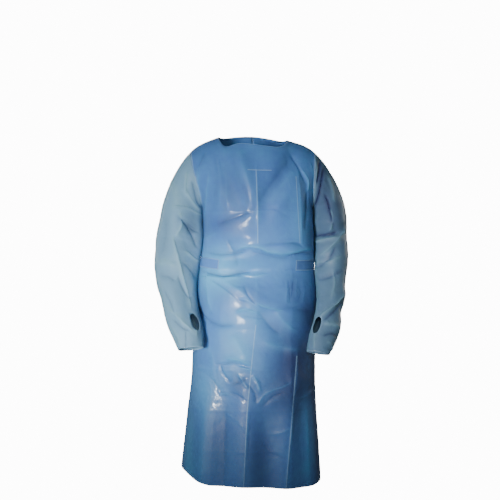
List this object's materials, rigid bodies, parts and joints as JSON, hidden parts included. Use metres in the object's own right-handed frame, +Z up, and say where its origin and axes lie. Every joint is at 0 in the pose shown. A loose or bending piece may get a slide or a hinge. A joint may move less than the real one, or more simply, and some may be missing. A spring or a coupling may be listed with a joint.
{
  "type": "disposable gown",
  "caption": "Thin film over-the-head protective gown, hollow as worn, with long thumb-loop sleeves, an open back and waist ties in a bow.",
  "frame": {"origin": "middle of the shoulder line, where the wearer's shoulders carry the gown", "axes": "+Z up along the gown, +Y towards the wearer's back, +X towards the wearer's left"},
  "size_m": [0.6193, 0.3503, 1.1025],
  "materials": {
    "front_panel": "thin glossy plastic film",
    "back_panel_left": "thin glossy plastic film",
    "back_panel_right": "thin glossy plastic film",
    "sleeve_left": "thin glossy plastic film",
    "sleeve_right": "thin glossy plastic film",
    "waist_tie_left": "thin glossy plastic film",
    "waist_tie_right": "thin glossy plastic film",
    "bow_knot": "thin glossy plastic film",
    "bow_loop_left": "thin glossy plastic film",
    "bow_loop_right": "thin glossy plastic film",
    "bow_tail_left": "thin glossy plastic film",
    "bow_tail_right": "thin glossy plastic film"
  },
  "bodies": {
    "root": {"front_panel": "front_panel", "back_panel_left": "back_panel_left", "back_panel_right": "back_panel_right", "sleeve_left": "sleeve_left", "sleeve_right": "sleeve_right", "waist_tie_left": "waist_tie_left", "waist_tie_right": "waist_tie_right", "bow_knot": "bow_knot", "bow_loop_left": "bow_loop_left", "bow_loop_right": "bow_loop_right", "bow_tail_left": "bow_tail_left", "bow_tail_right": "bow_tail_right"}
  },
  "joints": []
}
